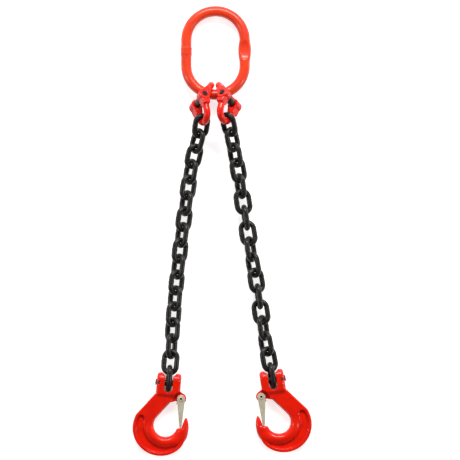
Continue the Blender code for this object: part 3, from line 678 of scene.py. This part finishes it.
hook = {
    "reach": 82.7 * mm, "bowlRadius": 17.8 * mm, "bowlOffset": 0.2 * mm,
    "backRadius": 42.9 * mm, "backDrop": 69.4 * mm, "backOffset": 6.6 * mm,
    "rimWidth": 4.8 * mm, "rimThickness": 13.5 * mm, "rimEdge": 1.6 * mm, "web": 6.2 * mm,
    "rimInset": 4.6 * mm, "rimFade": 44, "rimFullness": 1.5,  # the rim draws in towards the horn
    "beadWidth": 15.8 * mm, "beadThickness": 18 * mm, "throatPlane": 13.1 * mm, "mouthThickness": 15 * mm,
    "shoulder": (-18.13 * mm, -16.2 * mm), "throat": (4.6 * mm, -30.3 * mm), "roof": (8.7 * mm, -28.2 * mm),
    "plateThroat": (2.9 * mm, -29.0 * mm), "wallInset": 2.2 * mm, "topShare": 0.78, "earShare": 0.93,
    # Arcs of the plate, each from one angle to another in so many steps
    "lobeArc": (62, -150, 28), "wallArc": (-208, -24, 46), "rimArc": (-4, -204, 90),
    "pocketArc": (149, 322, 56), "bowlArc": (-212, -14, 49), "pocketStart": 0.95,
    # Angles between which the bead thickens, widens to the rim and thins again at the mouth
    "beadSwells": (-204, -128), "beadWidens": (-74, -26), "beadThins": (-66, -14),
    "throatFoot": 148, "throatShares": (1.12, 0.95, 0.75, 0.55, 0.35, 0.15), "throatEase": 0.15 * mm,
    "square": 2.4, "hornSquare": 2.3,
    "horn": (  # inner edge, outer edge and thickness, from the latch's seat to the tip
        ((21.0 * mm, -67.7 * mm), (36.2 * mm, -68.4 * mm), 14.2 * mm),
        ((25.0 * mm, -67.3 * mm), (36.2 * mm, -65.8 * mm), 13.2 * mm),
        ((25.6 * mm, -64.6 * mm), (36.0 * mm, -63.2 * mm), 12.2 * mm),
        ((26.4 * mm, -61.0 * mm), (35.3 * mm, -59.8 * mm), 11.0 * mm),
        ((27.4 * mm, -57.2 * mm), (34.2 * mm, -56.2 * mm), 9.4 * mm),
        ((28.4 * mm, -53.6 * mm), (32.9 * mm, -53.0 * mm), 7.0 * mm),
        ((29.1 * mm, -52.0 * mm), (32.0 * mm, -51.6 * mm), 4.8 * mm),
        ((29.9 * mm, -51.2 * mm), (31.1 * mm, -51.0 * mm), 2.2 * mm)),
    "pivot": (20.6 * mm, -22.3 * mm), "lobeRadius": 8.2 * mm, "lobeThickness": 4.8 * mm,
    "lobePocket": 11.2 * mm, "lobeFlare": 3.2 * mm, "rivet": 4.8 * mm, "gap": 0.3 * mm,
    "clevisWidth": 37 * mm, "clevisRadius": 10.7 * mm, "clevisRise": 4.6 * mm, "clevisBlock": 15.0 * mm,
    "clevisNeck": 23 * mm, "clevisEdge": 4.2 * mm, "clevisSink": 0.96,
    "slotWidth": 12.2 * mm, "slotDepth": 14.2 * mm, "flareStart": 9.8 * mm, "flareWidth": 9 * mm,
    "loadPin": 9.2 * mm, "loadPinProud": 2.1 * mm, "loadPinEdge": 0.8 * mm,
    "springPin": 3.8 * mm, "springPinOffset": 15 * mm, "springPinSlit": 0.5 * mm,
    "grain": 0.5 * mm, "passes": 8,
}


def hookCentres(size):
    back = Vector((-size["backOffset"], -size["backDrop"]))
    return back, Vector((size["bowlOffset"], size["bowlRadius"] - size["reach"]))


def rayAt(degrees):
    return Vector((math.cos(math.radians(degrees)), math.sin(math.radians(degrees))))


def hookOutline(size):
    # The plate seen from above; the horn and the bowl's inner side come from the bar below
    back, bowl = hookCentres(size)
    wall = size["bowlRadius"] + size["wallInset"]
    side, top = size["clevisWidth"] / 2, -size["slotDepth"] * size["topShare"]
    begin, end, steps = size["rimArc"]
    rim = []
    for i in range(steps + 1):
        degrees = begin + (end - begin) * i / steps
        inset = size["rimInset"] * max(0.0, 1 + degrees / size["rimFade"]) ** size["rimFullness"]
        rim.append(tuple(back + rayAt(degrees) * (size["backRadius"] - inset)))
    lobe = arcPoints(size["pivot"], size["lobeRadius"], *size["lobeArc"])
    throat = [size["roof"], size["plateThroat"], *arcPoints(bowl, wall, *size["wallArc"])]
    corner = (side * size["earShare"], top)
    return [(size["shoulder"][0], top), corner, *lobe, *throat, *rim, size["shoulder"]]


def pocket(size, low, high):
    # The hollow between the bead and the rim, blunt at both ends
    back, bowl = hookCentres(size)
    begin, end, count = size["pocketArc"]
    beadEdge = size["bowlRadius"] + size["beadWidth"] * size["pocketStart"]
    far = size["backRadius"] - size["rimWidth"]
    inner, outer = [], []
    for i in range(count + 1):
        ray = rayAt(begin + (end - begin) * i / count)
        aside = (bowl - back).dot(ray.orthogonal())
        near = (bowl - back).dot(ray) + math.sqrt(beadEdge ** 2 - aside ** 2)
        # The two ends are drawn in to a round
        blunt = min(1.0, min(i, (count - i) * 0.7) / 3.0)
        tight = 1 - math.sqrt(max(0.0, 1 - (1 - blunt) ** 2))
        middle, half = (near + far) / 2, (far - near) / 2 * (1 - 0.75 * tight)
        inner.append(tuple(back + ray * (middle - half)))
        outer.append(tuple(back + ray * (middle + half)))
    return slab(outer + inner[::-1], low, high)


def drawnBar(stations, count=44):
    # A bar drawn section by section: inner edge, outer edge, thickness and squareness
    shape = bmesh.new()
    turn = shape.verts.layers.float.new("turn")
    verts = bmesh.ops.create_circle(shape, segments=count, radius=1)["verts"]
    for vert in verts:
        vert[turn] = math.atan2(vert.co.y, vert.co.x)
    ring = edgesOf(verts)
    ends = [ring]
    for i, (inner, outer, thick, square) in enumerate(stations):
        if i:
            verts, ring = nextRing(shape, ring)
        middle, half = (inner + outer) / 2, (outer - inner) / 2
        for vert in verts:
            across, up = (math.copysign(abs(value) ** (2 / square), value)
                          for value in (math.cos(vert[turn]), math.sin(vert[turn])))
            spot = middle + half * across
            vert.co = (spot.x, spot.y, up * thick / 2)
    for ring in [*ends, ring]:
        bmesh.ops.contextual_create(shape, geom=ring)
    bmesh.ops.recalc_face_normals(shape, faces=shape.faces)
    return shape


def softStep(value, low, high):
    share = min(1.0, max(0.0, (value - low) / (high - low)))
    return share * share * (3 - 2 * share)


def bowlBar(size):
    # Down the throat, round the bowl and out to the tip of the horn
    back, bowl = hookCentres(size)
    start = bowl + rayAt(size["throatFoot"]) * size["bowlRadius"]
    line = Vector(size["throat"]) - start
    out = Vector((-line.y, line.x)).normalized()
    stations = []
    for share in size["throatShares"]:
        inner = start + line * share + out * size["throatEase"]
        stations.append((inner, inner + out * size["beadWidth"], size["throatPlane"], size["square"]))
    begin, end, steps = size["bowlArc"]
    for i in range(steps + 1):
        degrees = begin + (end - begin) * i / steps
        ray = rayAt(degrees)
        along = (bowl - back).dot(ray)
        rimReach = math.sqrt(size["backRadius"] ** 2 - (bowl - back).length_squared + along ** 2) - along
        reach = size["bowlRadius"] + size["beadWidth"]
        reach += (rimReach - reach) * softStep(degrees, *size["beadWidens"])
        rise, drop = softStep(degrees, *size["beadSwells"]), softStep(degrees, *size["beadThins"])
        thick = size["throatPlane"] + (size["beadThickness"] - size["throatPlane"]) * rise
        thick += (size["mouthThickness"] - size["beadThickness"]) * drop
        square = size["square"] - 0.3 * softStep(degrees, begin, -160) + 0.4 * drop
        stations.append((bowl + ray * size["bowlRadius"], bowl + ray * reach, thick, square))
    for inner, outer, thick in size["horn"]:
        stations.append((Vector(inner), Vector(outer), thick, size["hornSquare"]))
    return drawnBar(stations)


def clevis(size):
    # Two ears on a block that runs down into the plate in one soft sweep
    wide, sink = size["clevisWidth"] / 2, size["clevisSink"]
    foot, block = size["rimThickness"] / 2 * sink, size["clevisRadius"] * sink
    sweep = []
    for i in range(9):
        share = i / 8
        along = -size["clevisNeck"] + (size["clevisNeck"] - size["clevisBlock"]) * share
        sweep.append((along, foot + (block - foot) * softStep(share, 0, 1)))
    top = arcPoints((size["clevisRise"], 0), size["clevisRadius"], 90, -90, 36)
    profile = [*sweep, *top, *[(along, -high) for along, high in reversed(sweep)]]
    shape = slab(profile, -wide, wide, "YZX")
    eased(shape, edgesAt(shape, 0, -wide) + edgesAt(shape, 0, wide), size["clevisEdge"], 5)
    return shape


def clevisSlot(size):
    side, reach = size["slotWidth"] / 2, size["clevisRadius"] + longOverrun
    top = size["clevisRise"] + reach
    mouth = side + size["flareWidth"]
    outline = [(side, size["flareStart"]), (mouth, top), (-mouth, top), (-side, size["flareStart"]),
               *arcPoints((0, side - size["slotDepth"]), side, 180, 360, 24)]
    return slab(outline, -reach, reach)


def coneCut(size, side):
    # The sloping wall of the hollow about the latch's head, down to the plate's face
    lobe, high = size["lobeThickness"] / 2, size["rimThickness"] / 2 + size["gap"]
    shape = bmesh.new()
    bmesh.ops.create_cone(shape, cap_ends=True, segments=64, radius1=size["lobePocket"],
                          radius2=size["lobePocket"] + size["lobeFlare"], depth=high - lobe)
    bmesh.ops.translate(shape, verts=shape.verts, vec=Vector((0, 0, (lobe + high) / 2)))
    if side < 0:
        bmesh.ops.rotate(shape, verts=shape.verts, cent=Vector(), matrix=Matrix.Rotation(math.pi, 3, "X"))
    bmesh.ops.translate(shape, verts=shape.verts, vec=Vector((*size["pivot"], 0)))
    return shape


def makeHook(size):
    half, reach = size["rimThickness"] / 2, size["clevisRadius"] + longOverrun
    body = slab(hookOutline(size), -half, half)
    eased(body, edgesAt(body, 2, -half) + edgesAt(body, 2, half), size["rimEdge"], 4)
    wide, web, lobe = size["clevisWidth"] / 2, size["web"] / 2, size["lobeThickness"] / 2
    steps = [("DIFFERENCE", pocket(size, -reach, -web)), ("DIFFERENCE", pocket(size, web, reach)),
             ("DIFFERENCE", coneCut(size, -1)), ("DIFFERENCE", coneCut(size, 1)),
             ("UNION", bowlBar(size)), ("UNION", clevis(size)), ("DIFFERENCE", clevisSlot(size))]
    holes = ((size["lobePocket"], -reach, -lobe, "XYZ", size["pivot"]),
             (size["lobePocket"], lobe, reach, "XYZ", size["pivot"]),
             (size["loadPin"] / 2 + size["gap"], -wide - overrun, wide + overrun, "YZX", (0, 0)),
             (size["springPin"] / 2 + size["gap"], -reach, reach, "XYZ", (-size["springPinOffset"], 0)),
             (size["rivet"] / 2 + size["gap"], -reach, reach, "XYZ", size["pivot"]))
    steps += [("DIFFERENCE", roundSlab(radius, 48, low, high, order, middle))
              for radius, low, high, order, middle in holes]
    return forged(body, steps, "hook", size["grain"], size["passes"])


def makeLoadPin(size):
    outer = -size["clevisWidth"] / 2 - size["loadPinProud"]
    inner = size["clevisWidth"] / 2 - size["loadPinEdge"]
    shape = roundSlab(size["loadPin"] / 2, 48, outer, inner, "YZX")
    eased(shape, edgesAt(shape, 0, outer) + edgesAt(shape, 0, inner), size["loadPinEdge"], 3)
    hole = roundSlab(size["springPin"] / 2 + size["gap"], 32, -size["loadPin"], size["loadPin"], "XYZ",
                     (-size["springPinOffset"], 0))
    return forged(shape, [("DIFFERENCE", hole)], "loadPin")


def makeSpringPin(size):
    # A rolled pin: a tube with a slit down its side
    half = size["clevisRadius"] - size["loadPinEdge"]
    middle = (-size["springPinOffset"], 0)
    shape = roundSlab(size["springPin"] / 2, 32, -half, half, "XYZ", middle)
    low, high = -half - overrun, half + overrun
    hole = roundSlab(size["springPin"] / 4, 24, low, high, "XYZ", middle)
    near, far, side = middle[0], middle[0] + size["springPin"], size["springPinSlit"] / 2
    slit = slab([(near, -side), (far, -side), (far, side), (near, side)], low, high)
    return forged(shape, [("DIFFERENCE", hole), ("DIFFERENCE", slit)], "springPin")


# Latches

latch = {
    "length": 44 * mm, "lean": 3.6, "head": 6.1 * mm, "tip": 3.8 * mm, "depth": 10.8 * mm,
    "sheet": 1.4 * mm, "webStart": 9.9 * mm, "tipSolid": 3.6 * mm, "tipChamfer": 0.97, "edge": 0.6 * mm,
    "hollowEdge": 0.3 * mm,
    "rivetHead": 6.6 * mm, "rivetHeadHeight": 1.2 * mm, "rivetBore": 3.4 * mm, "rivetBoreDepth": 1.2 * mm,
    "wire": 0.8 * mm, "coil": 3.8 * mm, "coilStart": 200, "coilSteps": 36,
}


def makeLatch(size):
    tip, half = size["tip"] / 2, size["depth"] / 2
    corner = -size["length"] * size["tipChamfer"]
    outline = [*arcPoints((0, 0), size["head"], -8, 188, 36), (-tip, corner), (-tip * 0.5, -size["length"]),
               (tip * 0.5, -size["length"]), (tip, corner)]
    shape = slab(outline, -half, half)
    eased(shape, edgesAt(shape, 2, -half) + edgesAt(shape, 2, half), size["edge"], 3)
    wide, edge = size["head"] + longOverrun, tip - size["sheet"]
    start = size["head"] * 0.82 - size["sheet"]
    low = -size["length"] + size["tipSolid"]
    inner = [(-wide, wide), (wide, wide), (wide, -size["webStart"]), (start, -size["webStart"]),
             (edge, low), (-wide, low)]
    hollow = slab(inner, -half + size["sheet"], half - size["sheet"])
    level = [e for e in hollow.edges if abs(e.verts[0].co.z - e.verts[1].co.z) < samePlace]
    eased(hollow, level, size["hollowEdge"])
    hole = roundSlab(hook["rivet"] / 2 + hook["gap"], 40, -half - overrun, half + overrun, "XYZ")
    return forged(shape, [("DIFFERENCE", hollow), ("DIFFERENCE", hole)], "latch")


def makeRivet(size):
    # A tubular rivet, rolled over at both ends
    inner, top, shank = size["depth"] / 2 + hook["gap"], size["rivetHeadHeight"], hook["rivet"] / 2
    head, bore, floor = size["rivetHead"] / 2, size["rivetBore"] / 2, inner - size["rivetBoreDepth"]
    dome = []
    for degrees in range(180, -1, -20):
        ray = rayAt(degrees)
        dome.append((bore + (head - bore) * (0.5 + 0.5 * ray.x), inner + top * (0.25 + 0.75 * ray.y)))
    upper = [(0, floor), (bore * 0.8, floor), (bore, inner), *dome, (head, inner), (shank, inner)]
    profile = upper + [(across, -high) for across, high in reversed(upper)]
    shape = bmesh.new()
    points = [shape.verts.new(Vector((across, 0, high))) for across, high in profile]
    edges = [shape.edges.new(pair) for pair in zip(points, points[1:])]
    bmesh.ops.spin(shape, geom=points + edges, cent=Vector(), axis=alongZ, angle=2 * math.pi, steps=40,
                   use_merge=True)
    bmesh.ops.remove_doubles(shape, verts=shape.verts, dist=samePlace)
    # The bore's faces take the second finish, the dark pin steel, as painted shade in the hollow
    for face in shape.faces:
        spot = face.calc_center_median()
        inBore = math.hypot(spot.x, spot.y) < bore and abs(spot.z) < inner + top * 0.2
        face.material_index = 1 if inBore else 0
    return forged(shape, [], "rivet")


def makeLatchSpring(size):
    # A coil on each side of the lobe, joined by a loop that bears on the hook
    lobe = hook["lobeThickness"] / 2
    level = (lobe + size["depth"] / 2 - size["sheet"]) / 2
    room = size["depth"] / 2 - size["sheet"] - lobe - 2 * hook["gap"] - size["wire"]
    coil = []
    for i in range(size["coilSteps"] + 1):
        share = i / size["coilSteps"]
        ray = rayAt(size["coilStart"] + 360 * share) * size["coil"]
        coil.append(Vector((*ray, level + room * (share - 0.5))))
    coil.append(Vector((-hook["lobeRadius"] * 0.75, -hook["lobeRadius"] * 1.1, level)))
    route = coil + [Vector((spot.x, spot.y, -spot.z)) for spot in reversed(coil)]
    line = bpy.data.curves.new("latchSpring", "CURVE")
    line.dimensions = "3D"
    line.bevel_depth, line.bevel_resolution, line.use_fill_caps = size["wire"] / 2, 2, True
    track = line.splines.new("POLY")
    track.points.add(len(route) - 1)
    for spot, point in zip(track.points, route):
        spot.co = (*point, 1)
    holder = bpy.data.objects.new("latchSpring", line)
    scene.collection.objects.link(holder)
    mesh = finished(holder)
    mesh.shade_smooth()
    return mesh


hookMeshes = {"hook": makeHook(hook), "loadPin": makeLoadPin(hook), "springPin": makeSpringPin(hook),
              "latch": makeLatch(latch), "rivet": makeRivet(latch), "spring": makeLatchSpring(latch)}
for side, hand in zip(sides, (1, -1)):  # the right hook is the left one turned over
    ready = {key: turnedOver(mesh) if hand < 0 else mesh for key, mesh in hookMeshes.items()}
    pin, axis = jointPlace(side + "_hook_joint")
    pivot, swing = jointPlace(side + "_latch_joint")
    xAxis, zAxis = axis * hand, swing * -hand
    place = standing(pin, xAxis, zAxis.cross(xAxis))
    atPivot = standing(pivot, xAxis, zAxis.cross(xAxis))
    leaning = atPivot @ Matrix.Rotation(math.radians(latch["lean"]) * hand, 4, "Z")
    pieces = (
        ("HookBody", "hook", place, "_hook", "_hook", "fitting_paint", fittingPaint),
        ("LoadPin", "loadPin", place, "_hook", "_hook_load_pin", "pin_steel", pinSteel),
        ("SpringPin", "springPin", place, "_hook", "_hook_spring_pin", "pin_steel", pinSteel),
        # the rivet's bore is in the dark pin steel as painted shade
        ("Rivet", "rivet", atPivot, "_hook", "_latch_rivet", "latch_zinc", latchZinc, pinSteel),
        ("LatchSpring", "spring", atPivot, "_hook", "_latch_spring", "chain_steel", chainSteel),
        ("LatchLever", "latch", leaning, "_latch", "_latch", "latch_zinc", latchZinc),
    )
    for name, shape, spot, body, node, slotName, *finishes in pieces:
        setIn(side + name, ready[shape], spot, side + body, side + node, slotName, *finishes)
print("hooks and latches made")


# Table, light and camera

table = {
    "size": 6.0, "middle": -0.3, "sink": 0.05 * mm, "glow": 0.7,
    "colour": (0.90, 0.90, 0.90, 1), "cloudy": (0.92, 0.92, 0.92, 1), "shadow": (0.03, 0.01, 0.01, 1),
    "shadowReach": 24 * mm, "shadowDark": 0.04, "shadowClear": 0.24,
}


def makeTable(size):
    shape = bmesh.new()
    bmesh.ops.create_grid(shape, x_segments=1, y_segments=1, size=size["size"] / 2)
    bmesh.ops.translate(shape, verts=shape.verts, vec=Vector((0, size["middle"], cadLow.z - size["sink"])))
    thing = asObject(shape, "tableTop")
    made, tree, shader, place = newFinish("tableSheet", 0.0)
    shader.inputs["Roughness"].default_value = 0.9
    faint = noise(tree, place, 3.0, 2.0)
    sheet = blended(tree, spread(tree, faint, 0.3, 0.7), size["colour"], size["cloudy"])
    seen = tree.nodes.new("ShaderNodeLightPath").outputs
    mirrored = sums(tree, "MAXIMUM", seen["Is Glossy Ray"], seen["Is Transmission Ray"])
    anyRay = sums(tree, "MAXIMUM", seen["Is Camera Ray"], mirrored)
    shader.inputs["Emission Color"].default_value = (1, 1, 1, 1)
    shut = tree.nodes.new("ShaderNodeAmbientOcclusion")  # painted shadow: darkens the sheet and dims its glow in slots and under the bars
    shut.inputs["Distance"].default_value = size["shadowReach"]
    openness = spread(tree, shut.outputs["AO"], size["shadowDark"], size["shadowClear"])
    glow = scaled(tree, scaled(tree, anyRay, openness), size["glow"])
    tree.links.new(glow, shader.inputs["Emission Strength"])
    # Painted shadow: shut-in parts of the sheet take the dark shadow colour
    tree.links.new(blended(tree, openness, size["shadow"], sheet), shader.inputs["Base Color"])
    thing.data.materials.append(made)


makeTable(table)

aim = Vector((0.02, -0.33, 0.0))
lamps = {
    "topEndSheet": {"place": (0.35, 2.4, 2.6), "size": (3.0, 0.7), "power": 132.0},
    "leftSheet": {"place": (-2.4, -0.5, 2.0), "size": (0.5, 1.6), "power": 16.0},
    "rightSheet": {"place": (2.4, -0.9, 1.9), "size": (0.4, 1.2), "power": 16.0},
}
for name, look in lamps.items():
    light = bpy.data.lights.new(name, "AREA")
    light.shape, light.energy = "RECTANGLE", look["power"]
    light.size, light.size_y = look["size"]
    lamp = bpy.data.objects.new(name, light)
    scene.collection.objects.link(lamp)
    lamp.location = look["place"]
    lamp.rotation_euler = (aim - Vector(look["place"])).to_track_quat("-Z", "Y").to_euler()

# The room is darkest overhead and brightest past the master link's end
studio = {"overhead": 0.08, "horizon": 0.45, "nearEnd": 0.35, "farEnd": 1.5}
world = bpy.data.worlds.new("studio")
scene.world = world
world.use_nodes = True
air = world.node_tree
sky = air.nodes["Background"]
sky.inputs["Color"].default_value = (1, 1, 1, 1)
heading = air.nodes.new("ShaderNodeSeparateXYZ")
air.links.new(air.nodes.new("ShaderNodeTexCoord").outputs["Generated"], heading.inputs[0])
height = spread(air, heading.outputs["Z"], 0.1, 0.95, studio["horizon"], studio["overhead"])
endwise = spread(air, heading.outputs["Y"], -0.7, 0.7, studio["nearEnd"], studio["farEnd"])
seen = air.nodes.new("ShaderNodeLightPath").outputs["Is Camera Ray"]
air.links.new(sums(air, "MAXIMUM", scaled(air, height, endwise), seen), sky.inputs["Strength"])

view = {
    "middle": (0.0221, -0.3261), "across": 0.701, "level": 0.006,  # what fills the frame
    "lens": 200.0, "sensor": 36.0, "far": 50,
}
camera = bpy.data.cameras.new("camera")
camera.lens, camera.sensor_width, camera.clip_end = view["lens"], view["sensor"], view["far"]
cameraObject = bpy.data.objects.new("camera", camera)
scene.collection.objects.link(cameraObject)
cameraObject.location = (*view["middle"], view["level"] + view["across"] * view["lens"] / view["sensor"])
scene.camera = cameraObject
scene.view_settings.view_transform = "Standard"

print("sling ready")
